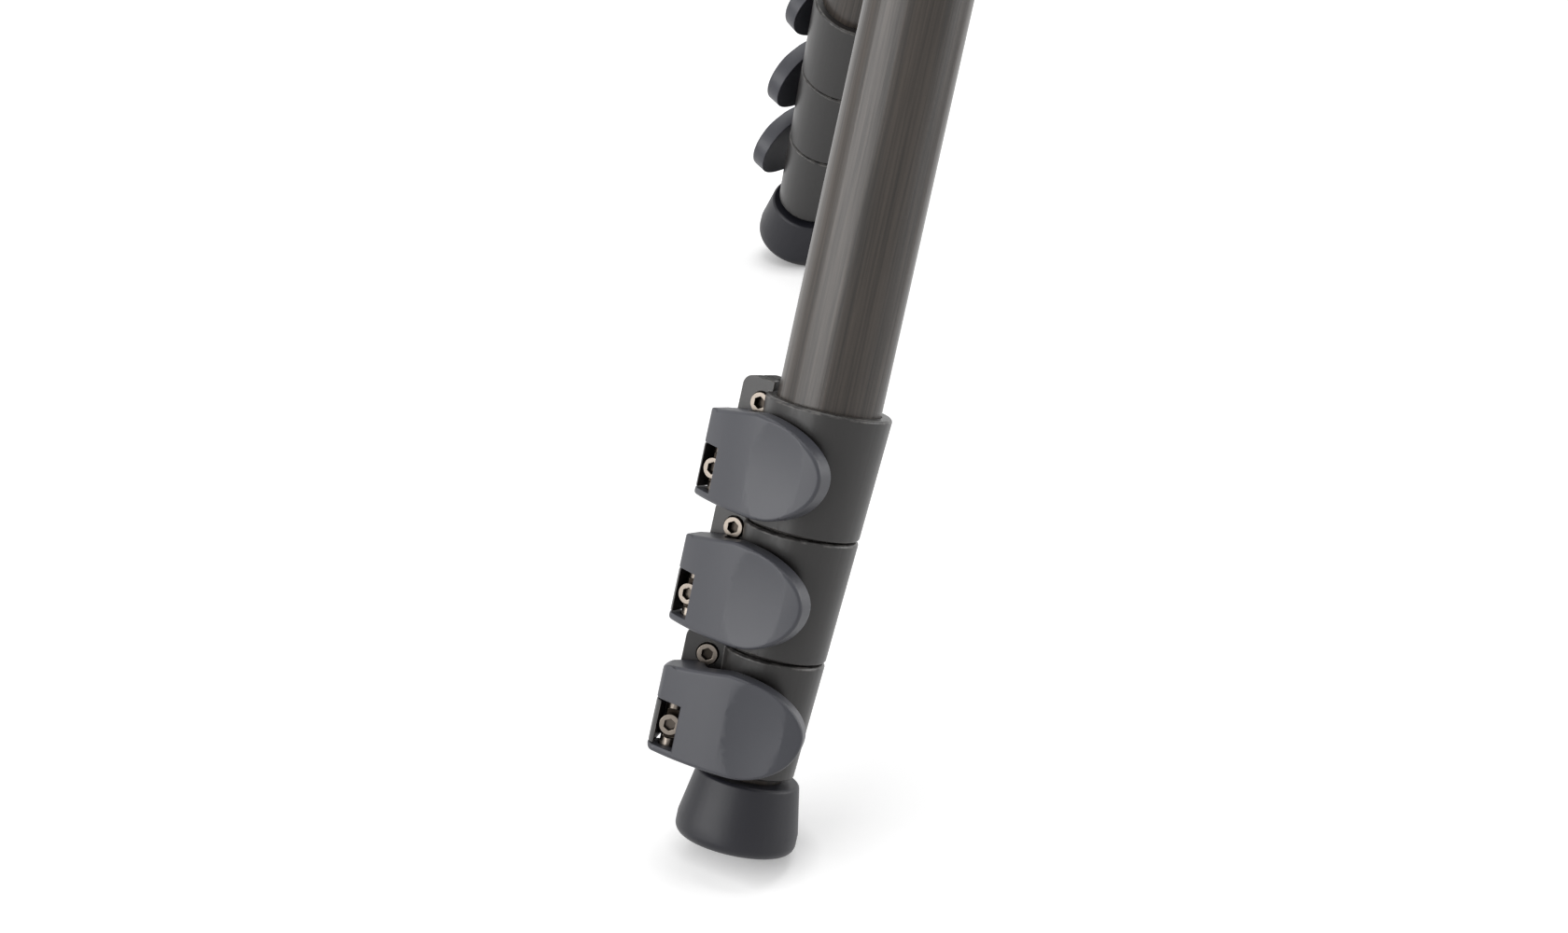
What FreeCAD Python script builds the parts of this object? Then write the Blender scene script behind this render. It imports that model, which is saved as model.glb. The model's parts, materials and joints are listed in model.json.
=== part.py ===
import FreeCAD, Part
import math
import os

V = FreeCAD.Vector
os.makedirs("parts", exist_ok=True)

# Driving dimensions, in millimetres and degrees.
# The origin is on the floor under the centre column, +Z up, and the front leg points along -Y.

# Legs
leg_names = ("front", "right", "left")
front_azimuth = -90.0
leg_lean = 24.0
hinge_reach = 30.0
hinge_to_lock = 306.4
part_gap = 0.3
running_gap = 0.05

# Telescopic tubes, thickest first
tube_count = 4
tube_radius = 12.5
tube_wall = 1.2
tube_seat = 12.0
tube_top_drop = 8.0
section_travel = 245.0

# Flip locks: a split collar, its two screws and a cam lever
lock_pitch = 30.4
lock_gap = 0.45
collar_wall = 2.76
collar_foot_wall = 2.45
collar_edge = 0.5
foot_gap = 1.5
split_width = 1.4
clamp_split = 0.8
clamp_depth = 13.6
ear_rise = 2.6
ear_share = 0.4
ear_trim = 0.5
ear_end_wall = 6.0
lower_ear_drop = 27.0
lock_azimuth = 22.0
lock_turns = {"front": (-22.5, -17.6, 0.0), "left": (-12.0, -5.0, -5.0)}

# Lock fasteners
clamp_screw_radius = 1.5
clamp_head_radius = 2.5
clamp_head_height = 2.4
clamp_screw_drop = 3.2
hex_key = 2.6
bolt_radius = 1.2
bolt_head_radius = 2.5
bolt_head_height = 2.0
bolt_offset = -4.9
bolt_seat_room = 1.1
pin_radius = 2.1
pin_beyond_screw = 4.1

# Lock lever, drawn face on: x towards the thumb tip, y up the leg, z out of the face
lever_tip = 12.8
lever_crown = 10.5
lever_crown_at = 16.3
lever_tip_height = 9.0
lever_thickness = 5.6
lever_top_half = 11.7
lever_top_length = 20.0
lever_low_half = 12.4
lever_low_length = 16.0
lever_heel_top = 9.1
lever_heel_low = -12.2
lever_heel_corner = 2.4
lever_edge = 1.0
knuckle_radius = 4.8
notch_low = -10.4
notch_high = 0.6
notch_length = 6.9
cradle_wall = 1.7
pin_cover = 1.2
dish_centre = 19.0
dish_depth = 0.75
dish_radius = 80.0
lever_opening = 110.0

# Feet
foot_height = 17.1
foot_top_radius = 12.65
foot_wide_radius = 14.75
foot_wide_height = 5.2
foot_edge = 2.6
foot_grip = 12.0

# Leg hinge and yoke
eye_radius = 9.5
eye_width = 16.0
lug_thickness = 5.0
lug_radius = 10.5
pivot_radius = 4.0
pivot_head_radius = 6.0
pivot_head_height = 2.2
socket_wall = 2.6
socket_top = 24.0
socket_length = 30.0
socket_groove = 0.7
horn_height = 12.4
horn_half_length = 5.0
horn_width = 11.0
tab_width = 8.0
tab_thickness = 2.4
tab_height = 7.6
tab_reach = 9.0
tab_grip = 11.5
tab_travel = 5.0

# Hub and centre column
hub_radius = 19.0
hub_top = 16.0
hub_drop = 12.0
column_radius = 12.5
column_wall = 1.6
column_length = 230.0
column_travel = 183.0
column_end = 3.0
top_plate_overhang = 0.5
top_plate_height = 6.0
spigot_length = 14.0
stud_radius = 4.7
stud_height = 10.0
lock_knob_radius = 9.5
lock_knob_length = 12.0
lock_shank_radius = 3.0
knob_boss_radius = 6.5
knob_boss_reach = 24.0
knob_lobes = 6

# Ball head
ball_radius = 14.0
ball_centre = 24.0
stem_radius = 5.5
stem_height = 26.0
housing_radius = 19.5
housing_waist = 17.8
housing_height = 34.0
drop_slot_side = 0.7
ball_knob_radius = 9.0
ball_knob_length = 13.0
clamp_length = 40.0
clamp_width = 38.0
clamp_height = 12.0
groove_depth = 5.0
groove_width = 26.0
groove_flare = 3.0
plate_length = 44.0
plate_width = 38.0
plate_height = 6.5
screw_radius = 3.175
screw_rise = 5.0
screw_neck = 2.8
screw_head_radius = 6.5
screw_head_height = 2.6
screw_recess = 0.8
grip_grooves = 3
grip_groove_pitch = 3.0
grip_groove_width = 1.0
clamp_knob_radius = 7.5
clamp_knob_length = 10.0
clamp_shank_radius = 2.5
clamp_screw_rise = 3.8
clamp_screw_reach = 12.0
jaw_slit = 1.0
jaw_width = 9.0
jaw_hinge = 2.0


# Sizes worked out from the driving dimensions

def section_radius(number):
    """Outer radius of a leg tube, 1 for the thickest."""
    return tube_radius - (number - 1) * (tube_wall + part_gap)


def lock_top(number):
    """Distance down the leg from the hinge to a lock collar's top rim."""
    return hinge_to_lock + (number - 1) * lock_pitch


lock_count = tube_count - 1
foot_top = lock_top(lock_count) + lock_pitch
leg_length = foot_top + foot_height
screw_reach = tube_radius + clamp_head_radius + 0.2
pin_reach = screw_reach + pin_beyond_screw
ear_reach = screw_reach + ear_end_wall
lean = math.radians(leg_lean)
foot_flat_radius = foot_wide_radius - foot_edge
hinge_height = (leg_length * math.cos(lean) + foot_flat_radius * math.sin(lean)
                + foot_edge * (1 - math.cos(lean)))
socket_radius = tube_radius + socket_wall


def ear_half(number):
    """Half the thickness of a lock's two clamp ears together."""
    return ear_share * (section_radius(number) + collar_wall) - ear_trim


def pin_distance(number):
    """Distance from the slit's plane to the lever's barrel pin."""
    return ear_half(number) + part_gap + knuckle_radius


# Small helpers

def outline(steps, plane="XZ"):
    """Closed face: each step is (a, b) for a straight run, or (a, b, c, d) for an arc through (c, d)."""
    def point(a, b):
        return V(a, 0, b) if plane == "XZ" else V(a, b, 0) if plane == "XY" else V(0, a, b)
    edges = []
    start = steps[-1][:2]
    for step in steps:
        end = step[:2]
        if len(step) == 4:
            edges.append(Part.Arc(point(*start), point(*step[2:]), point(*end)).toShape())
        else:
            edges.append(Part.LineSegment(point(*start), point(*end)).toShape())
        start = end
    return Part.Face(Part.Wire(edges))


def turned(steps):
    """Solid of revolution about Z from an outline of (radius, height) steps."""
    return outline(steps).revolve(V(0, 0, 0), V(0, 0, 1), 360)


def rod(radius, start, end):
    """Round bar between two points."""
    along = end - start
    return Part.makeCylinder(radius, along.Length, start, along)


def block(low, high):
    """Box between two corners."""
    return Part.makeBox(high[0] - low[0], high[1] - low[1], high[2] - low[2], V(*low))


def hex_socket(across, start, end):
    """Six-sided bar for a key, between two points."""
    along = end - start
    corner = across / math.sqrt(3)
    points = [V(corner * math.cos(math.radians(60 * i)), corner * math.sin(math.radians(60 * i)), 0)
              for i in range(7)]
    bar = Part.Face(Part.makePolygon(points)).extrude(V(0, 0, along.Length))
    bar.Placement = FreeCAD.Placement(start, FreeCAD.Rotation(V(0, 0, 1), along))
    return bar


def cap_screw(radius, head_radius, head_height, tip, head_top):
    """Socket head screw whose head ends at head_top."""
    along = (head_top - tip).normalize()
    under_head = head_top - along * head_height
    screw = rod(radius, tip, under_head).fuse(rod(head_radius, under_head, head_top))
    return screw.cut(hex_socket(hex_key, head_top - along * head_height * 0.7, head_top + along))


def fused(shapes):
    """One solid from several that meet."""
    return shapes[0].multiFuse(shapes[1:]).removeSplitter()


def lobed_knob(radius, lobes, start, along, length):
    """Hand knob with scooped sides, from its back face outwards."""
    body = turned([(0, 0), (radius * 0.72, 0), (radius, length * 0.3), (radius, length * 0.85),
                   (radius * 0.86, length), (0, length)])
    scoop = radius * 0.42
    cuts = [Part.makeCylinder(scoop, length * 2, V(radius * 1.22 * math.cos(a), radius * 1.22 * math.sin(a),
                                                   -length / 2))
            for a in (2 * math.pi * i / lobes for i in range(lobes))]
    knob = body.cut(Part.makeCompound(cuts))
    knob.Placement = FreeCAD.Placement(start, FreeCAD.Rotation(V(0, 0, 1), along))
    return knob


def save(name, solids):
    """Write one node, a solid or a group of separate solids."""
    group = solids if isinstance(solids, list) else [solids]
    parts = [solid for shape in group for solid in shape.Solids]
    shape = parts[0] if len(parts) == 1 else Part.makeCompound(parts)
    shape.exportStep(os.path.join("parts", name + ".step"))


# Leg pieces, drawn down a vertical leg whose hinge is at the origin: +X outwards, +Y sideways

def leg_tube(number):
    """Carbon tube; the first is held by the yoke, the last goes into the foot."""
    top = -socket_top if number == 1 else -(socket_top + (number - 1) * tube_top_drop)
    end = foot_top + foot_grip if number == tube_count else lock_top(number) + tube_seat
    outer = section_radius(number)
    return rod(outer, V(0, 0, -end), V(0, 0, top)).cut(
        rod(outer - tube_wall, V(0, 0, -end), V(0, 0, top)))


def foot():
    """Rubber foot that grips the last tube."""
    rounding = foot_edge * (1 - math.sqrt(0.5))
    base = -foot_height
    body = turned([
        (0, base), (foot_flat_radius, base),
        (foot_wide_radius, base + foot_edge, foot_wide_radius - rounding, base + rounding),
        (foot_wide_radius, base + foot_wide_height),
        (foot_top_radius, -0.6), (foot_top_radius - 0.6, 0), (0, 0)])
    socket = rod(section_radius(tube_count), V(0, 0, -foot_grip), V(0, 0, 1))
    return body.cut(socket).translate(V(0, 0, -foot_top))


def yoke():
    """Leg top: hinge eye, stop horn and the socket glued over the first tube."""
    half = eye_width / 2
    eye = rod(eye_radius, V(0, -half, 0), V(0, half, 0))
    neck = block((-eye_radius + 1, -half, -socket_top), (eye_radius - 1, half, 0))
    shoulder_top = lug_radius + 2 * part_gap + 1.5
    socket_end = socket_top + socket_length
    groove_at = socket_end - 5
    sleeve = turned([
        (0, -shoulder_top), (eye_radius - 1, -shoulder_top),
        (socket_radius, -socket_top + 1, socket_radius - 2.2, -shoulder_top - 3),
        (socket_radius, -groove_at + 1.2), (socket_radius - socket_groove, -groove_at + 0.6),
        (socket_radius - socket_groove, -groove_at - 0.6), (socket_radius, -groove_at - 1.2),
        (socket_radius, -socket_end + 1), (socket_radius - 1, -socket_end), (0, -socket_end)])
    horn_half = horn_width / 2
    horn = block((-horn_half_length, -horn_half, 0), (horn_half_length, horn_half, horn_height))
    horn = horn.makeFillet(2.5, [edge for edge in horn.Edges
                                 if edge.BoundBox.ZMin > horn_height - 0.1 and edge.BoundBox.YLength > 1])
    bore = rod(tube_radius, V(0, 0, -socket_end), V(0, 0, -socket_top))
    pivot = rod(pivot_radius + running_gap, V(0, -half, 0), V(0, half, 0))
    slot = block((-horn_half_length - 1, -tab_width / 2 - part_gap, tab_height - part_gap),
                 (horn_half_length + 1, tab_width / 2 + part_gap, tab_height + tab_thickness + part_gap))
    return fused([eye, neck, sleeve, horn]).cut(Part.makeCompound([bore, pivot, slot]))


def angle_tab():
    """Spring tab in the horn that sets how far the leg spreads."""
    side = tab_width / 2
    tongue = block((-tab_reach, -side, tab_height), (tab_grip, side, tab_height + tab_thickness))
    grip = block((tab_grip - 2.2, -side, tab_height), (tab_grip, side, tab_height + tab_thickness + 3.2))
    nose = block((-tab_reach - 1, -side - 1, tab_height + tab_thickness * 0.5),
                 (-tab_reach + 1.2, side + 1, tab_height + tab_thickness + 1))
    return fused([tongue, grip]).cut(nose)


# Lock pieces, drawn about the leg axis with the collar's top rim at the origin:
# +X out of the lever's face, +Y towards its thumb tip, +Z up the leg

def collar(number):
    """Split clamp collar: its upper half grips its own tube, its lower half the next one."""
    top = section_radius(number) + collar_wall
    bottom = section_radius(number + 1) + collar_foot_wall
    height = lock_pitch - (foot_gap if number == lock_count else lock_gap)
    body = turned([
        (0, 0), (top - collar_edge, 0), (top, -collar_edge),
        (bottom + collar_edge * 0.6, -height + collar_edge),
        (bottom, -height), (0, -height)])
    thick = ear_half(number)
    upper = outline([
        (0, -clamp_depth), (0, ear_rise - 0.6), (-screw_reach + 1.5, ear_rise),
        (-ear_reach + 2.5, ear_rise), (-ear_reach, ear_rise - 2.5, -ear_reach + 0.73, ear_rise - 0.73),
        (-ear_reach, -clamp_depth)], "YZ").extrude(V(2 * thick, 0, 0)).translate(V(-thick, 0, 0))
    split = clamp_depth + clamp_split
    lower = outline([
        (0, -split), (-pin_reach - 2, -split), (-pin_reach - 3.3, -split - 1.5),
        (-pin_reach - 3.3, -lower_ear_drop + 2.5), (-pin_reach - 1, -lower_ear_drop),
        (0, -lower_ear_drop)], "YZ").extrude(V(2 * thick, 0, 0)).translate(V(-thick, 0, 0))
    low, high = notch_low + part_gap - lock_pitch / 2, min(notch_high - part_gap - lock_pitch / 2, -split)
    pin_x = pin_distance(number)
    cradle = rod(knuckle_radius - 0.05, V(pin_x, -pin_reach, low), V(pin_x, -pin_reach, high)).common(
        block((0, -pin_reach - 2 * knuckle_radius, low),
              (pin_x + knuckle_radius * 0.8, -pin_reach - knuckle_radius + cradle_wall, high)))
    foot_of_cradle = block((split_width / 2, -pin_reach - knuckle_radius + 0.05, low),
                           (pin_x, -pin_reach - knuckle_radius + cradle_wall, high))
    neighbour = section_radius(number) + (1.2 if number == 1 else collar_foot_wall + 0.4)
    cuts = [
        rod(section_radius(number), V(0, 0, -tube_seat), V(0, 0, ear_rise + 1)),
        rod(section_radius(number + 1) + part_gap, V(0, 0, -height - 1), V(0, 0, 0)),
        rod(neighbour, V(0, 0, 0), V(0, 0, ear_rise + 1)),
        block((-split_width / 2, -pin_reach - 5, -height - 1), (split_width / 2, 0, ear_rise + 1)),
        block((-thick - 1, -pin_reach - 5, -split),
              (thick + 1, -section_radius(number) * 0.6, -clamp_depth)),
        rod(clamp_screw_radius + running_gap, V(-thick - 1, -screw_reach, -clamp_screw_drop),
            V(thick + 1, -screw_reach, -clamp_screw_drop)),
        rod(clamp_head_radius + 0.2, V(thick - clamp_head_height * 0.7, -screw_reach, -clamp_screw_drop),
            V(thick + 1, -screw_reach, -clamp_screw_drop)),
        rod(bolt_radius + running_gap, V(-thick - 1, -pin_reach, bolt_height()),
            V(thick + 1, -pin_reach, bolt_height()))]
    return fused([body, upper, lower, cradle, foot_of_cradle]).cut(Part.makeCompound(cuts)).Solids[0]


def bolt_height():
    """Height of the tension bolt against the collar's top rim."""
    return -lock_pitch / 2 + bolt_offset


def lock_hardware(number):
    """Clamp screw, tension bolt and the barrel pin that the lever turns on."""
    thick = ear_half(number)
    pin_x = pin_distance(number)
    seat = thick - clamp_head_height * 0.7
    screw = cap_screw(clamp_screw_radius, clamp_head_radius, clamp_head_height,
                      V(-thick - 0.5, -screw_reach, -clamp_screw_drop),
                      V(seat + clamp_head_height, -screw_reach, -clamp_screw_drop))
    height = bolt_height()
    head_top = pin_x + pin_radius + bolt_head_height - 0.6
    bolt = cap_screw(bolt_radius, bolt_head_radius, bolt_head_height,
                     V(-thick - 2.4, -pin_reach, height), V(head_top, -pin_reach, height))
    nut = rod(bolt_head_radius + 0.9, V(-thick - 2.4, -pin_reach, height), V(-thick, -pin_reach, height))
    middle = -lock_pitch / 2
    pin = rod(pin_radius, V(pin_x, -pin_reach, middle + lever_heel_low + 0.8),
              V(pin_x, -pin_reach, middle + lever_heel_top - pin_cover - 0.2))
    seat_flat = rod(bolt_head_radius + bolt_seat_room, V(pin_x + pin_radius - 0.6, -pin_reach, height),
                    V(pin_x + pin_radius + 1, -pin_reach, height))
    through = rod(bolt_radius + running_gap, V(0, -pin_reach, height), V(pin_x + 5, -pin_reach, height))
    return [screw, fused([bolt, nut]), pin.cut(seat_flat).cut(through)]


def on_knuckle(angle):
    """Point on the knuckle, seen from the side; 180 degrees is the end away from the tip."""
    turn = math.radians(angle)
    return knuckle_radius * math.cos(turn), knuckle_radius * math.sin(turn)


def lever_side():
    """Side view of the lever: the pin is at the origin, x runs to the tip, z out of the face."""
    heel = knuckle_radius
    tip = lever_tip + pin_reach
    under = lever_crown - lever_thickness
    return outline([
        on_knuckle(135) + on_knuckle(157.5),
        (tip + 1, lever_tip_height, lever_crown_at, lever_crown),
        (tip + 1, lever_tip_height - lever_thickness + 0.4),
        (heel + 1.4, under - 1.9, lever_crown_at, under),
        (heel, 0), (-heel, 0, 0, -heel)])


def lever_face():
    """Face-on outline of the lever: straight to the belly, then half an ellipse above and below."""
    start = -knuckle_radius - 0.3
    end = lever_tip + pin_reach
    corner = lever_heel_corner
    eased = corner * (1 - math.sqrt(0.5))
    high, low = lever_heel_top, lever_heel_low

    def line(a, b):
        return Part.LineSegment(V(*a, 0), V(*b, 0)).toShape()

    def quarter(reach, half, first):
        centre = V(end - reach, 0, 0)
        oval = Part.Ellipse(centre + V(reach, 0, 0), centre + V(0, half, 0), centre)
        return Part.ArcOfEllipse(oval, first, first + math.pi / 2).toShape()

    def heel_corner(side, turn):
        points = ((start, side - turn * corner), (start + eased, side - turn * eased), (start + corner, side))
        return Part.Arc(*[V(x, y, 0) for x, y in points]).toShape()

    return Part.Face(Part.Wire([
        line((start, high - corner), (start, low + corner)),
        heel_corner(low, -1),
        line((start + corner, low), (end - lever_low_length, -lever_low_half)),
        quarter(lever_low_length, lever_low_half, -math.pi / 2),
        quarter(lever_top_length, lever_top_half, 0),
        line((end - lever_top_length, lever_top_half), (start + corner, high)),
        heel_corner(high, 1)]))


def lever():
    """Cam lever: a bowed, dished thumb plate, forked round the tension bolt at its heel."""
    deep = 2 * lever_crown
    wide = 2 * lever_low_half + 4
    heel = knuckle_radius
    plan = lever_face().extrude(V(0, 0, 2 * deep)).translate(V(0, 0, -deep))
    plate = plan.common(lever_side().extrude(V(0, wide, 0)).translate(V(0, -wide / 2, 0)))
    rim = [edge for edge in plate.Edges if edge.BoundBox.XMax > 0 and on_outer_face(edge)]
    body = plate.makeFillet(lever_edge, rim)
    dish = Part.makeSphere(dish_radius, V(dish_centre, 0, lever_crown - dish_depth + dish_radius))
    cuts = [
        rod(pin_radius + running_gap, V(0, -wide, 0), V(0, lever_heel_top - pin_cover, 0)),
        block((-heel - 3, notch_low, -heel - 1), (notch_length - heel, notch_high, deep)),
        rod(heel + 0.35, V(0, notch_low, 0), V(0, notch_high, 0)),
        dish]
    return body.cut(Part.makeCompound(cuts)).removeSplitter()


def on_outer_face(edge):
    """True where every end of an edge lies on the lever's bowed outer face."""
    tip = lever_tip + pin_reach
    start = on_knuckle(135)
    bow = Part.Arc(V(start[0], 0, start[1]), V(lever_crown_at, 0, lever_crown),
                   V(tip + 1, 0, lever_tip_height)).toShape().Curve
    middle = edge.valueAt((edge.FirstParameter + edge.LastParameter) / 2)
    points = [vertex.Point for vertex in edge.Vertexes] + [middle]
    return all(abs((V(p.x, 0, p.z) - bow.Center).Length - bow.Radius) < 0.01 for p in points)


# Hub, centre column and head, drawn about the column axis with the leg hinges' height as zero

def hub():
    """Casting that carries the leg hinges and guides the column."""
    boss = turned([
        (0, -hub_drop), (hub_radius - 1.5, -hub_drop), (hub_radius, -hub_drop + 1.5),
        (hub_radius, hub_top - 1.5), (hub_radius - 1.5, hub_top), (0, hub_top)])
    inner = eye_width / 2 + part_gap
    outer = inner + lug_thickness
    pieces = [boss]
    cuts = [rod(column_radius + part_gap, V(0, 0, -hub_drop - 1), V(0, 0, hub_top + 1))]
    for index in range(len(leg_names)):
        azimuth = front_azimuth + 120 * index
        arm = fused([
            block((hub_radius * 0.5, -outer, -lug_radius), (hinge_reach, outer, lug_radius)),
            rod(lug_radius, V(hinge_reach, -outer, 0), V(hinge_reach, outer, 0))])
        room = fused([
            rod(lug_radius + 2 * part_gap, V(hinge_reach, -inner, 0), V(hinge_reach, inner, 0)),
            block((hinge_reach, -inner, -2 * lug_radius), (3 * hinge_reach, inner, 3 * lug_radius)),
            block((hinge_reach - lug_radius, -inner, -2 * lug_radius), (hinge_reach, inner, 0)),
            block((hub_radius - 1, -inner, 0), (hinge_reach, inner, 3 * lug_radius))])
        sweep = horn_height + 3 * part_gap + 1.0
        horn_room = rod(sweep, V(hinge_reach, -horn_width / 2 - part_gap, 0),
                        V(hinge_reach, horn_width / 2 + part_gap, 0))
        bores = rod(pivot_radius + running_gap, V(hinge_reach, -outer - 1, 0),
                    V(hinge_reach, outer + 1, 0))
        seats = [rod(pivot_head_radius + part_gap, V(hinge_reach, side * (outer - 1.2), 0),
                     V(hinge_reach, side * (outer + 1), 0)) for side in (-1, 1)]
        for shape, group in ((arm, pieces), (room, cuts), (horn_room, cuts), (bores, cuts),
                             (seats[0], cuts), (seats[1], cuts)):
            shape.rotate(V(0, 0, 0), V(0, 0, 1), azimuth)
            group.append(shape)
    knob_direction = V(math.cos(math.radians(knob_azimuth())), math.sin(math.radians(knob_azimuth())), 0)
    pieces.append(rod(knob_boss_radius, knob_direction * (hub_radius - 3), knob_direction * knob_boss_reach))
    cuts.append(rod(lock_shank_radius + running_gap, V(0, 0, 0), knob_direction * (knob_boss_reach + 1)))
    return fused(pieces).cut(Part.makeCompound(cuts))


def knob_azimuth():
    """The column's lock knob stands between the two rear legs."""
    return front_azimuth + 180


def pivot_bolts():
    """One shouldered bolt through each pair of lugs."""
    outer = eye_width / 2 + part_gap + lug_thickness
    bolts = []
    for index in range(len(leg_names)):
        shank = rod(pivot_radius, V(hinge_reach, -outer, 0), V(hinge_reach, outer, 0))
        heads = [rod(pivot_head_radius, V(hinge_reach, side * (outer - 1.2), 0),
                     V(hinge_reach, side * (outer - 1.2 + pivot_head_height), 0)) for side in (-1, 1)]
        key_start = outer - 1.2 + pivot_head_height
        key = hex_socket(2 * hex_key, V(hinge_reach, key_start - 1.6, 0), V(hinge_reach, key_start + 1, 0))
        bolt = fused([shank] + heads).cut(key)
        bolt.rotate(V(0, 0, 0), V(0, 0, 1), front_azimuth + 120 * index)
        bolts.append(bolt)
    return bolts


top_plate_radius = housing_radius + top_plate_overhang
plate_base = hub_top + part_gap
plate_top = plate_base + top_plate_height
head_base = plate_top + part_gap
stem_top = head_base + ball_centre + stem_height
clamp_top = stem_top + clamp_height
groove_floor = clamp_top - groove_depth
plate_bottom = groove_floor + part_gap
camera_face = clamp_top + part_gap + plate_height


def column_tube():
    """Carbon centre column with a closed, rounded lower end."""
    low = plate_base - column_length
    inner = column_radius - column_wall
    return turned([
        (0, low), (column_radius - 2, low),
        (column_radius, low + 2, column_radius - 0.59, low + 0.59),
        (column_radius, plate_base), (inner, plate_base), (inner, low + column_end), (0, low + column_end)])


def column_knob():
    """Hand screw that locks the column."""
    angle = math.radians(knob_azimuth())
    along = V(math.cos(angle), math.sin(angle), 0)
    start = knob_boss_reach + part_gap
    shank = rod(lock_shank_radius, along * (column_radius + part_gap), along * (start + 1))
    return fused([shank, lobed_knob(lock_knob_radius, knob_lobes, along * start, along, lock_knob_length)])


def top_plate():
    """Plate on the column's top with a spigot below and the head's stud above."""
    inner = column_radius - column_wall
    return turned([
        (0, plate_base - spigot_length), (inner - 0.8, plate_base - spigot_length),
        (inner, plate_base - spigot_length + 0.8), (inner, plate_base),
        (top_plate_radius - 0.8, plate_base), (top_plate_radius, plate_base + 0.8),
        (top_plate_radius, plate_top - 0.8), (top_plate_radius - 0.8, plate_top),
        (stud_radius, plate_top), (stud_radius, plate_top + stud_height - 0.8),
        (stud_radius - 0.8, plate_top + stud_height), (0, plate_top + stud_height)])


def head_housing():
    """Ball head body with its drop slot and the lock knob's boss."""
    base = head_base
    top = base + housing_height
    body = turned([
        (0, base), (housing_radius, base), (housing_radius + 0.6, base + 0.6),
        (housing_radius + 0.6, base + 6), (housing_radius, base + 6.8),
        (housing_radius - 0.4, top - 4, housing_waist, (base + top) / 2),
        (housing_radius - 3, top, housing_radius - 1.2, top - 1.3), (0, top)])
    centre = V(0, 0, base + ball_centre)
    slot_half = stem_radius + drop_slot_side
    reach = V(housing_radius + 3, 0, 0)
    slot = fused([
        rod(slot_half, centre, centre + reach),
        block((0, -slot_half, base + ball_centre), (housing_radius + 3, slot_half, top + 1))])
    mouth_base = base + ball_centre + ball_radius * 0.55
    mouth = Part.makeCone(ball_radius * 0.8, ball_radius * 1.12, top - mouth_base + 0.5, V(0, 0, mouth_base))
    cuts = [
        Part.makeSphere(ball_radius + running_gap, centre), slot, mouth,
        rod(stud_radius + running_gap, V(0, 0, base - 1), V(0, 0, plate_top + stud_height + part_gap)),
        rod(lock_shank_radius + running_gap, centre, centre + V(0, -housing_radius - 3, 0))]
    boss = rod(knob_boss_radius, centre + V(0, -housing_waist + 3, 0), centre + V(0, -housing_radius - 1, 0))
    return fused([body, boss]).cut(Part.makeCompound(cuts))


def head_ball():
    """Ball and stem in one turning, flat on top for the clamp."""
    centre = head_base + ball_centre
    ball = Part.makeSphere(ball_radius, V(0, 0, centre))
    stem = rod(stem_radius, V(0, 0, centre), V(0, 0, stem_top))
    collar_ring = turned([
        (0, stem_top - 3), (stem_radius + 0.4, stem_top - 3), (stem_radius + 2.5, stem_top), (0, stem_top)])
    return fused([ball, stem, collar_ring])


def ball_knob():
    """Hand screw that locks the ball."""
    along = V(0, -1, 0)
    centre = V(0, 0, head_base + ball_centre)
    start = housing_radius + 1 + part_gap
    shank = rod(lock_shank_radius, centre + along * (ball_radius + part_gap), centre + along * (start + 1))
    return fused([shank, lobed_knob(ball_knob_radius, knob_lobes, centre + along * start, along,
                                    ball_knob_length)])


def dovetail(base, length, narrow, flare, height):
    """Bar along X, wider at its base than at its top."""
    half = narrow / 2
    return outline([(half + flare, base), (half, base + height), (-half, base + height),
                    (-half - flare, base)], "YZ").extrude(V(length, 0, 0)).translate(V(-length / 2, 0, 0))


def rounded_slab(length, width, base, height, corner):
    """Flat slab with rounded upright corners."""
    slab = block((-length / 2, -width / 2, base), (length / 2, width / 2, base + height))
    return slab.makeFillet(corner, [edge for edge in slab.Edges if edge.BoundBox.ZLength > height / 2])


def clamp_body():
    """Quick release clamp: a dovetail groove and a slit that lets one jaw close on the plate."""
    block_body = rounded_slab(clamp_length, clamp_width, stem_top, clamp_height, 4)
    groove = dovetail(groove_floor, clamp_length + 2, groove_width, groove_flare, groove_depth + 0.01)
    centre = V(0, 0, stem_top + clamp_screw_rise)
    screw = rod(clamp_shank_radius + running_gap, centre + V(0, clamp_width / 2 - clamp_screw_reach - 1, 0),
                centre + V(0, clamp_width / 2 + 1, 0))
    slit_start = clamp_width / 2 - jaw_width
    slit = block((-clamp_length, slit_start, stem_top + jaw_hinge),
                 (clamp_length, slit_start + jaw_slit, groove_floor + 1))
    return block_body.cut(Part.makeCompound([groove, screw, slit]))


def clamp_knob():
    """Hand screw that closes the clamp's jaw."""
    along = V(0, 1, 0)
    centre = V(0, 0, stem_top + clamp_screw_rise)
    start = clamp_width / 2 + part_gap
    shank = rod(clamp_shank_radius, centre + along * (clamp_width / 2 - clamp_screw_reach),
                centre + along * (start + 1))
    return fused([shank, lobed_knob(clamp_knob_radius, knob_lobes, centre + along * start, along,
                                    clamp_knob_length)])


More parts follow.
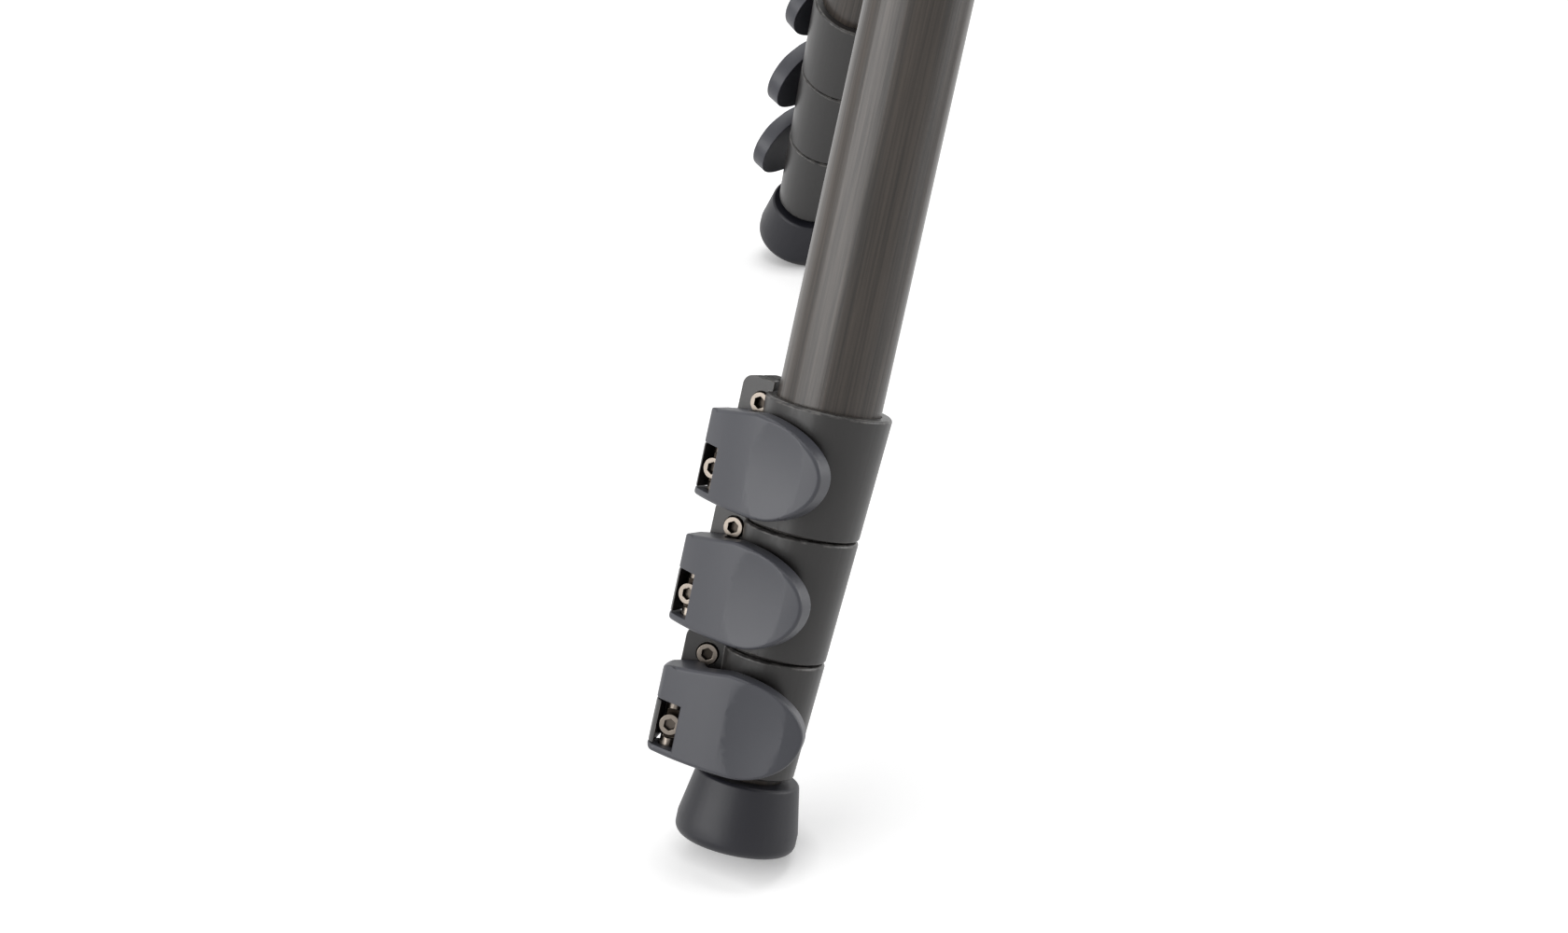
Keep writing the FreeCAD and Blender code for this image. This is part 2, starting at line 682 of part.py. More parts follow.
def camera_plate():
    """Sliding plate: dovetail below, flat face above, and a hole for the camera screw."""
    upper = clamp_top + part_gap
    shrink = part_gap * 2
    foot_bar = dovetail(plate_bottom, plate_length, groove_width - shrink, groove_flare,
                        upper - plate_bottom)
    top = rounded_slab(plate_length, plate_width, upper, plate_height, 3)
    cuts = [
        rod(screw_neck + running_gap, V(0, 0, plate_bottom - 1), V(0, 0, camera_face + 1)),
        rod(screw_radius + part_gap, V(0, 0, camera_face - screw_recess), V(0, 0, camera_face + 1)),
        rod(screw_head_radius + part_gap, V(0, 0, plate_bottom - 1),
            V(0, 0, camera_face - screw_head_height - 3))]
    half_groove = grip_groove_width / 2
    for index in range(grip_grooves):
        place = plate_length / 2 - (index + 1) * grip_groove_pitch - 1
        for x in (-place, place):
            cuts.append(block((x - half_groove, -plate_width / 2 + 4, camera_face - 0.6),
                              (x + half_groove, plate_width / 2 - 4, camera_face + 1)))
    return fused([foot_bar, top]).cut(Part.makeCompound(cuts))


def camera_screw():
    """Quarter-inch camera screw, held in the plate by its head."""
    head_top = camera_face - screw_head_height - 3 - part_gap
    head_base_height = head_top - screw_head_height
    screw = turned([
        (0, head_base_height), (screw_head_radius, head_base_height), (screw_head_radius, head_top),
        (screw_neck, head_top), (screw_neck, camera_face), (screw_radius, camera_face),
        (screw_radius, camera_face + screw_rise), (0, camera_face + screw_rise)])
    slot = block((-screw_head_radius - 1, -0.7, head_base_height - 1),
                 (screw_head_radius + 1, 0.7, head_base_height + 1.2))
    return screw.cut(slot)


# Placing and saving

def place_leg(shape, azimuth):
    """Lean a vertical leg's piece outwards and turn it round the column."""
    placed = shape.copy()
    placed.rotate(V(0, 0, 0), V(0, 1, 0), -leg_lean)
    placed.translate(V(hinge_reach, 0, hinge_height))
    placed.rotate(V(0, 0, 0), V(0, 0, 1), azimuth)
    return placed


def place_lock(shape, number, turn):
    """Turn a lock's piece round its tube and move it down the vertical leg."""
    placed = shape.copy()
    placed.rotate(V(0, 0, 0), V(0, 0, 1), lock_azimuth + turn)
    placed.translate(V(0, 0, -lock_top(number)))
    return placed


def lever_in_lock(number):
    """Stand the face-on lever on its pin, closed over the collar."""
    placed = lever_shape.copy()
    placed.rotate(V(0, 0, 0), V(1, 1, 1), 120)
    placed.translate(V(pin_distance(number), -pin_reach, -lock_pitch / 2))
    return placed


lever_shape = lever()
numbers = range(1, lock_count + 1)
collars = {number: collar(number) for number in numbers}
hardware = {number: lock_hardware(number) for number in numbers}
tubes = {number: leg_tube(number) for number in range(1, tube_count + 1)}
foot_shape, yoke_shape, tab_shape = foot(), yoke(), angle_tab()

for index, leg in enumerate(leg_names):
    azimuth = front_azimuth + 120 * index
    turns = lock_turns.get(leg, (0.0,) * lock_count)
    save(leg + "_leg_yoke", place_leg(yoke_shape, azimuth))
    save(leg + "_leg_angle_tab", place_leg(tab_shape, azimuth))
    save(leg + "_leg_foot", place_leg(foot_shape, azimuth))
    for number, tube in tubes.items():
        save("%s_leg_tube_%d" % (leg, number), place_leg(tube, azimuth))
    for number in numbers:
        turn = turns[number - 1]
        save("%s_leg_lock_collar_%d" % (leg, number),
             place_leg(place_lock(collars[number], number, turn), azimuth))
        save("%s_leg_lock_lever_%d" % (leg, number),
             place_leg(place_lock(lever_in_lock(number), number, turn), azimuth))
        save("%s_leg_lock_fasteners_%d" % (leg, number),
             [place_leg(place_lock(piece, number, turn), azimuth) for piece in hardware[number]])

upper_works = {
    "hub_casting": hub(), "leg_pivot_bolts": pivot_bolts(), "column_tube": column_tube(),
    "column_lock_knob": column_knob(), "column_top_plate": top_plate(), "head_housing": head_housing(),
    "head_ball": head_ball(), "ball_lock_knob": ball_knob(), "clamp_body": clamp_body(),
    "clamp_knob": clamp_knob(), "camera_plate": camera_plate(), "camera_screw": camera_screw()}
for name, shape in upper_works.items():
    pieces = shape if isinstance(shape, list) else [shape]
    save(name, [piece.translated(V(0, 0, hinge_height)) for piece in pieces])

print("hinge height %.3f, leg length %.3f, camera face %.3f"
      % (hinge_height, leg_length, hinge_height + camera_face))
print("travel: column %.0f, leg sections %.0f, tab %.0f; levers open %.0f degrees"
      % (column_travel, section_travel, tab_travel, lever_opening))
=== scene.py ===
"""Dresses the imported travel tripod: pieces, finishes, stage and camera, laid out as an add-on."""

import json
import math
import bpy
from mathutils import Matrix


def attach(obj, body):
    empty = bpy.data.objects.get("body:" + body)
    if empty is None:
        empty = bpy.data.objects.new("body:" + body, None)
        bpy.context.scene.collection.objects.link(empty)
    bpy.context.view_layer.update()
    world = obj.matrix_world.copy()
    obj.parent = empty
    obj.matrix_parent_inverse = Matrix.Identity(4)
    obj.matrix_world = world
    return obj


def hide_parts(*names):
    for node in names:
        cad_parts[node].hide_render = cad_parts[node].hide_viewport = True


bl_info = {
    "name": "Travel Tripod Dressing",
    "version": (1, 0, 0),
    "blender": (4, 5, 0),
    "location": "3D View > Sidebar > Tripod",
    "description": "Adds finished pieces, materials, stage and camera to the packed travel tripod",
    "category": "Object",
}

import bmesh
import bpy
from bpy.props import FloatProperty, FloatVectorProperty, IntProperty, PointerProperty
from mathutils import Matrix, Vector
from mathutils.bvhtree import BVHTree

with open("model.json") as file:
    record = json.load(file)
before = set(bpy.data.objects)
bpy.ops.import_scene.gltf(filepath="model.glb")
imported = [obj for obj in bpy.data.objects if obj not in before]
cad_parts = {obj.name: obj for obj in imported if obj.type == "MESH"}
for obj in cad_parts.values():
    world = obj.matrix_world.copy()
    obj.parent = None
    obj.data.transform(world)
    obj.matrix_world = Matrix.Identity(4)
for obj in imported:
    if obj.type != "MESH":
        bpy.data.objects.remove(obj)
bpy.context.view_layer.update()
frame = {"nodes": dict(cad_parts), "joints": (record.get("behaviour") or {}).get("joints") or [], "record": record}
JOINTS = {joint["name"]: joint for joint in frame["joints"]}
LEGS = ("front", "right", "left")
LOCKS = (1, 2, 3)
TUBES = (1, 2, 3, 4)
MM = 0.001

# Share of a rounding's width beyond which a point of it has left the piece's surface
STRAY = 0.45
# Directions round a face, and the rises above its plane, that test how closed in it is
HOLLOW_TURNS = 8
HOLLOW_RISES = (0.45, 1.2)
# How little of the length of a strand the noise sees, so that it draws out along the tube
STRAND_STRETCH = 0.022
# Share of the fine strands in the fibre's shade; the broad bands make up the rest
STRAND_SHARE = 0.55
# Rounding at the ends of the tubes, and the column's closed end
TUBE_EASE = 0.25 * MM
COLUMN_ROUND = 2 * MM
COLUMN_FLOOR = 3 * MM
# Angles in degrees: shown as sharp, rounded as an edge, and joined into one face
SHARP = 40.0
EDGE_ANGLE = 28.0
FLAT_ANGLE = 0.6
# Distance below which two points of a CAD mesh are one
WELD = 2e-6
# Reach of the rays that find the sockets of the lock's screws and of the pivot bolts
SOCKET_REACH = 2.5 * MM
BOLT_REACH = 3.5 * MM
# Where the floor's glow starts to grow, and where it is full, in metres from the tripod
GLOW_NEAR = 0.4
GLOW_FAR = 1.6
# Noise scales, in waves per metre: shade of the grain, fine strands, broad bands, patches of the painted edge
# highlight
SHADE_SCALE = 60.0
STRAND_SCALE = 1500.0
BAND_SCALE = 330.0
EDGE_HIGHLIGHT_SCALE = 420.0
# Depth of the grain and of the strands, the bands' share of relief, and how far roughness wanders
GRAIN_DEPTH = 0.05 * MM
STRAND_DEPTH = 0.02 * MM
BAND_RELIEF = 7.0
ROUGHNESS_SPREAD = 0.12
# Height over which the paler colour at the bottom of the feet fades, and its share at the floor
PALLOR_HEIGHT = 3.5 * MM
PALLOR_SHARE = 0.55
# Soft boxes: name, place, size, and the setting that holds the power
BOXES = (("key box", (-0.67, -1.46, 0.66), (1.9, 0.6), "key"),
         ("top box", (-0.1, 0.25, 1.7), (1.1, 1.1), "top"),
         ("rim box", (0.78, 0.70, 0.27), (1.0, 0.5), "rim"))
LIGHT_AIM = (0.0, -0.12, 0.15)
FLOOR_HALF = 4.0
SENSOR = 36.0
WHITE = (1.0, 1.0, 1.0, 1.0)


# Sizes and colours that a user would change

def length(name, description, value):
    """A length in metres."""
    return FloatProperty(name=name, description=description, default=value, min=0.0, unit="LENGTH",
                         precision=5)


def colour(name, description, value):
    """A linear colour."""
    return FloatVectorProperty(name=name, description=description, default=value, size=3, min=0.0, max=1.0,
                               subtype="COLOR")


class TripodSizes(bpy.types.PropertyGroup):
    """Sizes of the pieces that Blender makes."""
    wall: length("Tube wall", "Wall of the leg tubes", 1.2 * MM)
    column_wall: length("Column wall", "Wall of the column", 1.6 * MM)
    edge: length("Casting edge", "Rounding of the cast pieces' edges", 0.25 * MM)
    metal_edge: length("Metal edge", "Rounding of turned metal edges", 0.12 * MM)
    tube_sides: IntProperty(name="Tube sides", description="Faces round a tube", default=96, min=24)


class TripodColours(bpy.types.PropertyGroup):
    """Colours of the finishes."""
    fibre_light: colour("Fibre, light", "Lit strands of the tube", (0.078, 0.064, 0.054))
    fibre_dark: colour("Fibre, dark", "Dark strands of the tube", (0.028, 0.024, 0.021))
    casting: colour("Castings", "Lock collars, hub and yokes", (0.024, 0.0225, 0.022))
    lever: colour("Levers", "Lock levers", (0.051, 0.0525, 0.063))
    rubber: colour("Rubber", "Feet and knobs", (0.012, 0.012, 0.017))
    # Paler colour mixed in at the bottom of the feet, strongest at the floor
    pallor: colour("Pallor", "Floor dust low on the feet", (0.20, 0.19, 0.17))
    steel: colour("Steel", "Screws and pins", (0.19, 0.165, 0.142))
    # Near black mixed into the closed-in faces of screws and bolts: painted shade in their sockets
    socket_shade: colour("PaintedShade", "Oil and dirt held in sockets", (0.012, 0.009, 0.007))
    # Pale colour on the rounded edges of castings and anodised parts: a painted highlight along the rims
    edge_highlight: colour("Highlighted edge", "Paint thinned on the edges of castings", (0.34, 0.32, 0.30))
    anodised: colour("Anodised", "Ball head and clamp", (0.020, 0.020, 0.022))
    ball: colour("Ball", "Ball and stem", (0.46, 0.46, 0.47))
    floor: colour("Floor", "Floor as it is seen", (0.90, 0.90, 0.90))
    floor_bounce: colour("Floor bounce", "Floor as it lights the tripod", (0.42, 0.42, 0.42))


class TripodStage(bpy.types.PropertyGroup):
    """Camera and lamps."""
    camera_place: FloatVectorProperty(name="Camera", description="Place of the camera", size=3,
                                      default=(0.3245, -0.6675, 0.4301), subtype="TRANSLATION")
    camera_down: FloatProperty(name="Down", description="Angle of the view below the horizon",
                               default=0.5136, subtype="ANGLE")
    camera_heading: FloatProperty(name="Heading", description="Turn of the view from +Y towards -X",
                                  default=math.radians(33.35), subtype="ANGLE")
    camera_roll: FloatProperty(name="Roll", description="Roll of the camera", default=-0.0129,
                               subtype="ANGLE")
    lens: FloatProperty(name="Lens", description="Focal length on a 36 mm sensor, in mm", default=67.27)
    key: FloatProperty(name="Key", description="Power of the wide soft box at the left", default=17.0,
                       min=0.0)
    top: FloatProperty(name="Top", description="Power of the soft box above", default=11.0, min=0.0)
    rim: FloatProperty(name="Rim", description="Power of the soft box behind at the right", default=6.0,
                       min=0.0)
    glow: FloatProperty(name="Floor glow", description="Light added where the near floor is seen",
                        default=0.47, min=0.0)
    contact: length("Contact shadow", "Reach of the shade where a piece meets the floor", 8.0 * MM)
    sky: FloatProperty(name="Sky", description="Strength of the world's diffuse light", default=0.25, min=0.0)


def sizes():
    return bpy.context.scene.tripod_sizes


def colours():
    return bpy.context.scene.tripod_colours


def stage():
    return bpy.context.scene.tripod_stage


# Node groups and materials

def group_with(name, inputs, outputs):
    """Empty shader group with named sockets; returns its tree and its two end nodes."""
    tree = bpy.data.node_groups.new(name, "ShaderNodeTree")
    for label, kind, value in inputs:
        socket = tree.interface.new_socket(name=label, in_out="INPUT", socket_type=kind)
        if value is not None:
            socket.default_value = value
    for label, kind in outputs:
        tree.interface.new_socket(name=label, in_out="OUTPUT", socket_type=kind)
    return tree, tree.nodes.new("NodeGroupInput"), tree.nodes.new("NodeGroupOutput")


def add(tree, kind, links=None, **settings):
    """New node with its settings, its values and its links given by socket name or number."""
    node = tree.nodes.new(kind)
    for key, value in settings.items():
        setattr(node, key, value)
    for key, value in (links or {}).items():
        if isinstance(value, bpy.types.NodeSocket):
            tree.links.new(value, node.inputs[key])
        else:
            node.inputs[key].default_value = value
    return node


def grain_group():
    """Fine moulded or cast grain: height, roughness and a soft blotch mask."""
    tree, given, out = group_with("Moulded Grain", [
        ("Vector", "NodeSocketVector", None), ("Scale", "NodeSocketFloat", 1500.0),
        ("Roughness", "NodeSocketFloat", 0.5), ("Spread", "NodeSocketFloat", 0.1)],
        [("Height", "NodeSocketFloat"), ("Roughness", "NodeSocketFloat"), ("Blotch", "NodeSocketFloat")])
    fine = add(tree, "ShaderNodeTexNoise", {"Vector": given.outputs["Vector"],
                                            "Scale": given.outputs["Scale"], "Detail": 3.0})
    wide = add(tree, "ShaderNodeTexNoise", {"Vector": given.outputs["Vector"], "Scale": SHADE_SCALE,
                                            "Detail": 4.0})
    centred = add(tree, "ShaderNodeMath", {0: wide.outputs[0], 1: 0.5}, operation="SUBTRACT")
    spread = add(tree, "ShaderNodeMath", {0: centred.outputs[0], 1: given.outputs["Spread"],
                                          2: given.outputs["Roughness"]}, operation="MULTIPLY_ADD")
    tree.links.new(fine.outputs[0], out.inputs["Height"])
    tree.links.new(spread.outputs[0], out.inputs["Roughness"])
    tree.links.new(wide.outputs[0], out.inputs["Blotch"])
    return tree


def fibre_group():
    """Strands that run along a tube; the vector is in the tube's own frame, with Z along it."""
    tree, given, out = group_with("Lengthwise Fibre", [
        ("Vector", "NodeSocketVector", None), ("Light", "NodeSocketColor", None),
        ("Dark", "NodeSocketColor", None), ("Roughness", "NodeSocketFloat", 0.4)],
        [("Color", "NodeSocketColor"), ("Roughness", "NodeSocketFloat"), ("Height", "NodeSocketFloat")])
    drawn = add(tree, "ShaderNodeMapping", {"Vector": given.outputs["Vector"],
                                            "Scale": (1.0, 1.0, STRAND_STRETCH)})
    strands = add(tree, "ShaderNodeTexNoise", {"Vector": drawn.outputs[0], "Scale": STRAND_SCALE,
                                               "Detail": 4.0})
    bands = add(tree, "ShaderNodeTexNoise", {"Vector": drawn.outputs[0], "Scale": BAND_SCALE,
                                             "Detail": 2.0})
    fine = add(tree, "ShaderNodeMath", {0: strands.outputs[0], 1: STRAND_SHARE}, operation="MULTIPLY")
    both = add(tree, "ShaderNodeMath", {0: bands.outputs[0], 1: 1.0 - STRAND_SHARE, 2: fine.outputs[0]},
               operation="MULTIPLY_ADD")
    spread = add(tree, "ShaderNodeMapRange", {"Value": both.outputs[0], "From Min": 0.38,
                                              "From Max": 0.62})
    shade = mixed(tree, spread.outputs[0], given.outputs["Dark"], given.outputs["Light"])
    rough = add(tree, "ShaderNodeMath", {0: spread.outputs[0], 1: -0.06, 2: given.outputs["Roughness"]},
                operation="MULTIPLY_ADD")
    relief = add(tree, "ShaderNodeMath", {0: bands.outputs[0], 1: BAND_RELIEF, 2: strands.outputs[0]},
                 operation="MULTIPLY_ADD")
    tree.links.new(shade, out.inputs["Color"])
    tree.links.new(rough.outputs[0], out.inputs["Roughness"])
    tree.links.new(relief.outputs[0], out.inputs["Height"])
    return tree


def edge_highlight_group():
    """Broken mask on the rounded edges of a piece, for a painted highlight along them."""
    tree, given, out = group_with("Worn Edge", [
        ("Edge", "NodeSocketFloat", 0.0), ("Vector", "NodeSocketVector", None),
        ("Amount", "NodeSocketFloat", 0.5)], [("Mask", "NodeSocketFloat")])
    patches = add(tree, "ShaderNodeTexNoise", {"Vector": given.outputs["Vector"], "Scale": EDGE_HIGHLIGHT_SCALE,
                                               "Detail": 4.0})
    broken = add(tree, "ShaderNodeMapRange", {"Value": patches.outputs[0], "From Min": 0.42,
                                              "From Max": 0.62})
    kept = add(tree, "ShaderNodeMath", {0: broken.outputs[0], 1: given.outputs["Edge"]},
               operation="MULTIPLY")
    mask = add(tree, "ShaderNodeMath", {0: kept.outputs[0], 1: given.outputs["Amount"]},
               operation="MULTIPLY")
    tree.links.new(mask.outputs[0], out.inputs["Mask"])
    return tree


def colour_out(node):
    """Colour output of a Mix node."""
    return next(socket for socket in node.outputs if socket.type == "RGBA")


def colour_in(node, name):
    """Colour input of a Mix node."""
    return next(socket for socket in node.inputs if socket.type == "RGBA" and socket.name == name)


GROUPS = {}


def effect(name):
    """The shared node group of that name, built once."""
    makers = {"grain": grain_group, "fibre": fibre_group, "edge_glint": edge_highlight_group}
    if name not in GROUPS:
        GROUPS[name] = makers[name]()
    return GROUPS[name]


def empty_material(name):
    """Material with a Principled shader; returns the material, its tree and the shader."""
    material = bpy.data.materials.new(name)
    material.use_nodes = True
    tree = material.node_tree
    return material, tree, tree.nodes["Principled BSDF"]


def placed(tree, name, links):
    """Group node of a shared effect."""
    return add(tree, "ShaderNodeGroup", links, node_tree=effect(name))


def mixed(tree, share_of_second, first, second):
    """Colour between two others, each a socket or a colour; returns the output socket."""
    paint = add(tree, "ShaderNodeMix", data_type="RGBA")
    tree.links.new(share_of_second, paint.inputs[0])
    for label, value in (("A", first), ("B", second)):
        if isinstance(value, bpy.types.NodeSocket):
            tree.links.new(value, colour_in(paint, label))
        else:
            colour_in(paint, label).default_value = list(value)[:3] + [1.0]
    return colour_out(paint)


def grained(name, base, roughness, scale, bump, metallic=0.0, blotch=0.12, specular=0.5, edge_highlight=0.0,
            pale_low=False, socket_shade=0.0):
    """Moulded, cast or anodised finish with fine grain and a slight change of shade, with an optional painted
    highlight on rounded edges, painted shade in hollows and a paler colour low down.
    """
    material, tree, shader = empty_material(name)
    place = add(tree, "ShaderNodeTexCoord").outputs["Object"]
    grain = placed(tree, "grain", {"Vector": place, "Scale": scale, "Roughness": roughness,
                                   "Spread": ROUGHNESS_SPREAD})
    low = [channel * (1.0 - blotch) for channel in base]
    high = [channel * (1.0 + blotch) for channel in base]
    shade = mixed(tree, grain.outputs["Blotch"], low, high)
    # Paler colour on the rounded edges: a painted highlight
    if edge_highlight:
        edge = add(tree, "ShaderNodeAttribute", attribute_name="edge").outputs["Fac"]
        edge_glint = placed(tree, "edge_glint", {"Edge": edge, "Vector": place, "Amount": edge_highlight})
        shade = mixed(tree, edge_glint.outputs["Mask"], shade, colours().edge_highlight)
    # Darker the more closed in a face is: painted shade in sockets and recesses
    if socket_shade:
        sunk = add(tree, "ShaderNodeAttribute", attribute_name="hollow").outputs["Fac"]
        held = add(tree, "ShaderNodeMapRange", {"Value": sunk, "From Min": 0.15, "From Max": 0.7,
                                                "To Max": socket_shade})
        shade = mixed(tree, held.outputs[0], shade, colours().socket_shade)
    # Paler towards the bottom, in blotches, over the lowest few millimetres
    if pale_low:
        height = add(tree, "ShaderNodeSeparateXYZ", {0: place}).outputs["Z"]
        low_down = add(tree, "ShaderNodeMapRange", {"Value": height, "From Max": PALLOR_HEIGHT,
                                                    "To Min": PALLOR_SHARE, "To Max": 0.0})
        pallor_mask = add(tree, "ShaderNodeMath", {0: low_down.outputs[0], 1: grain.outputs["Blotch"]},
                   operation="MULTIPLY")
        shade = mixed(tree, pallor_mask.outputs[0], shade, colours().pallor)
    relief = add(tree, "ShaderNodeBump", {"Height": grain.outputs["Height"], "Strength": bump,
                                          "Distance": GRAIN_DEPTH})
    tree.links.new(shade, shader.inputs["Base Color"])
    tree.links.new(grain.outputs["Roughness"], shader.inputs["Roughness"])
    tree.links.new(relief.outputs[0], shader.inputs["Normal"])
    shader.inputs["Metallic"].default_value = metallic
    shader.inputs["Specular IOR Level"].default_value = specular
    return material


def fibre_finish():
    """Satin resin over lengthwise dark fibre."""
    material, tree, shader = empty_material("fibre tube")
    chosen = colours()
    place = add(tree, "ShaderNodeAttribute", attribute_name="along").outputs["Vector"]
    fibre = placed(tree, "fibre", {"Vector": place, "Light": list(chosen.fibre_light) + [1.0],
                                   "Dark": list(chosen.fibre_dark) + [1.0], "Roughness": 0.34})
    relief = add(tree, "ShaderNodeBump", {"Height": fibre.outputs["Height"], "Strength": 0.8,
                                          "Distance": STRAND_DEPTH})
    tree.links.new(fibre.outputs["Color"], shader.inputs["Base Color"])
    tree.links.new(fibre.outputs["Roughness"], shader.inputs["Roughness"])
    tree.links.new(relief.outputs[0], shader.inputs["Normal"])
    shader.inputs["Specular IOR Level"].default_value = 0.42
    return material


FINISHES = {}


def finish(name):
    """Named finish, built once with the chosen colours."""
    chosen = colours()
    makers = {
        "fibre": fibre_finish,
        # Castings and anodised parts carry a painted highlight on their rounded edges
        "casting": lambda: grained("satin casting", chosen.casting, roughness=0.36, scale=1600.0, bump=0.2,
                                   specular=0.45, edge_highlight=0.3),
        "lever": lambda: grained("moulded lever", chosen.lever, roughness=0.44, scale=2200.0, bump=0.2,
                                 blotch=0.06),
        "rubber": lambda: grained("foot rubber", chosen.rubber, roughness=0.46, scale=1400.0, bump=0.3,
                                  specular=0.38, pale_low=True),
        # Steel carries painted shade in its sockets
        "steel": lambda: grained("stainless steel", chosen.steel, roughness=0.32, scale=900.0, bump=0.1,
                                 metallic=1.0, blotch=0.35, socket_shade=0.97),
        "anodised": lambda: grained("dark anodised", chosen.anodised, roughness=0.32, scale=2600.0, bump=0.12,
                                    specular=0.55, edge_highlight=0.4),
        "ball": lambda: grained("polished ball", chosen.ball, roughness=0.2, scale=1200.0, bump=0.05,
                                metallic=1.0),
    }
    if name not in FINISHES:
        FINISHES[name] = makers[name]()
    return FINISHES[name]


# Frames and mesh helpers

def leg_frame(leg):
    """Origin on the leg's hinge, -Z down the leg, +X outwards."""
    up = -Vector(JOINTS[leg + "_section_2_slide"]["axis"])
    side = -Vector(JOINTS[leg + "_leg_spread"]["axis"])
    out = side.cross(up)
    turn = Matrix((out, side, up)).transposed().to_4x4()
    return Matrix.Translation(JOINTS[leg + "_leg_spread"]["pos_m"]) @ turn


def extent_along(node, frame_matrix):
    """Lowest and highest Z of a CAD node in a frame, and its largest radius about that Z axis."""
    back = frame_matrix.inverted()
    points = [back @ vertex.co for vertex in frame["nodes"][node].data.vertices]
    heights = [point.z for point in points]
    return min(heights), max(heights), max(math.hypot(point.x, point.y) for point in points)


def as_piece(name, bm, material, body, replaced):
    """Turns a bmesh in the row's frame into a shown piece that rides on a body for CAD nodes."""
    mesh = bpy.data.meshes.new(name)
    bm.to_mesh(mesh)
    bm.free()
    mesh.shade_smooth()
    mesh.set_sharp_from_angle(angle=math.radians(SHARP))
    mesh.materials.append(material)
    piece = bpy.data.objects.new(name, mesh)
    bpy.context.scene.collection.objects.link(piece)
    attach(piece, body)
    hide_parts(*replaced)
    return piece


def body_of(node):
    """Name of the body that a CAD node belongs to."""
    bodies = frame["record"]["behaviour"]["bodies"]
    return next(name for name, members in bodies.items() if node in members)


def mark_hollows(bm, reach):
    """Keeps in each face the share of directions that the piece itself closes within reach, which a finish turns
    into painted shade.
    """
    sunk = bm.faces.layers.float.new("hollow")
    tree = BVHTree.FromBMesh(bm)
    for face in bm.faces:
        normal = face.normal
        across = normal.orthogonal().normalized()
        start = face.calc_center_median() + normal * (0.02 * MM)
        closed = 0
        for turn in range(HOLLOW_TURNS):
            lean = Matrix.Rotation(math.tau * turn / HOLLOW_TURNS, 3, normal) @ across
            for rise in HOLLOW_RISES:
                closed += tree.ray_cast(start, (lean + normal * rise).normalized(), reach)[0] is not None
        face[sunk] = closed / (HOLLOW_TURNS * len(HOLLOW_RISES))


def merged_copy(node):
    """Copy of a CAD node's mesh with its triangles joined into the faces that they came from."""
    bm = bmesh.new()
    bm.from_mesh(frame["nodes"][node].data)
    bmesh.ops.remove_doubles(bm, verts=bm.verts, dist=WELD)
    bmesh.ops.dissolve_limit(bm, angle_limit=math.radians(FLAT_ANGLE), use_dissolve_boundaries=False,
                             verts=bm.verts, edges=bm.edges)
    return bm


def hard_edges(bm):
    """Edges where two faces meet at a clear angle."""
    return [edge for edge in bm.edges
            if len(edge.link_faces) == 2 and edge.calc_face_angle(0.0) > math.radians(EDGE_ANGLE)]


def round_edges(bm, edges, width):
    """Bevels edges and marks the new faces, so that a finish can paint a highlight on them.

    A corner point that the bevel throws off the piece goes back to its surface.
    """
    rounded = bm.faces.layers.float["edge"]
    before = BVHTree.FromBMesh(bm)
    made = bmesh.ops.bevel(bm, geom=edges, offset=width, offset_type="OFFSET", affect="EDGES",
                           segments=2, profile=0.5, clamp_overlap=False, material=-1)
    for face in made["faces"]:
        face[rounded] = 1.0
    for vert in {vert for face in made["faces"] for vert in face.verts}:
        nearest, _, _, distance = before.find_nearest(vert.co)
        if distance > STRAY * width:
            vert.co = nearest


def softened(node, width, material, hollows=0.0):
    """Copy of a CAD node with its sharp edges rounded, in the node's place."""
    bm = merged_copy(node)
    bm.faces.layers.float.new("edge")
    round_edges(bm, hard_edges(bm), width)
    if hollows:
        bm.normal_update()
        mark_hollows(bm, hollows)
    piece = as_piece(node + ".soft", bm, material, body_of(node), [node])
    even = piece.modifiers.new("even shading", "WEIGHTED_NORMAL")
    even.mode = "FACE_AREA"
    even.keep_sharp = True


def turned_profile(bm, profile, sides):
    """Closes a profile of (radius, height) points into a solid of revolution about Z."""
    verts = [bm.verts.new((radius, 0.0, height)) for radius, height in profile]
    edges = [bm.edges.new((a, b)) for a, b in zip(verts, verts[1:] + verts[:1])]
    bmesh.ops.spin(bm, geom=verts + edges, cent=(0, 0, 0), axis=(0, 0, 1), angle=math.tau, steps=sides,
                   use_merge=True, use_duplicate=False)
    bmesh.ops.remove_doubles(bm, verts=bm.verts, dist=1e-7)
    bmesh.ops.recalc_face_normals(bm, faces=bm.faces)


def strand_map(bm, frame_matrix):
    """Keeps each point's place in the tube's own frame, for strands that follow its axis."""
    back = frame_matrix.inverted()
    layer = bm.verts.layers.float_vector.new("along")
    for vert in bm.verts:
        vert[layer] = back @ vert.co


def tube_piece(node, frame_matrix, wall, material):
    """Hollow tube with softly broken ends in the place of a CAD tube."""
    low, high, radius = extent_along(node, frame_matrix)
    inner = radius - wall
    bm = bmesh.new()
    turned_profile(bm, [(inner, low), (radius - TUBE_EASE, low), (radius, low + TUBE_EASE),
                        (radius, high - TUBE_EASE), (radius - TUBE_EASE, high), (inner, high)],
                   sizes().tube_sides)
    bmesh.ops.transform(bm, matrix=frame_matrix, verts=bm.verts)
    strand_map(bm, frame_matrix)
    as_piece(node + ".shell", bm, material, body_of(node), [node])


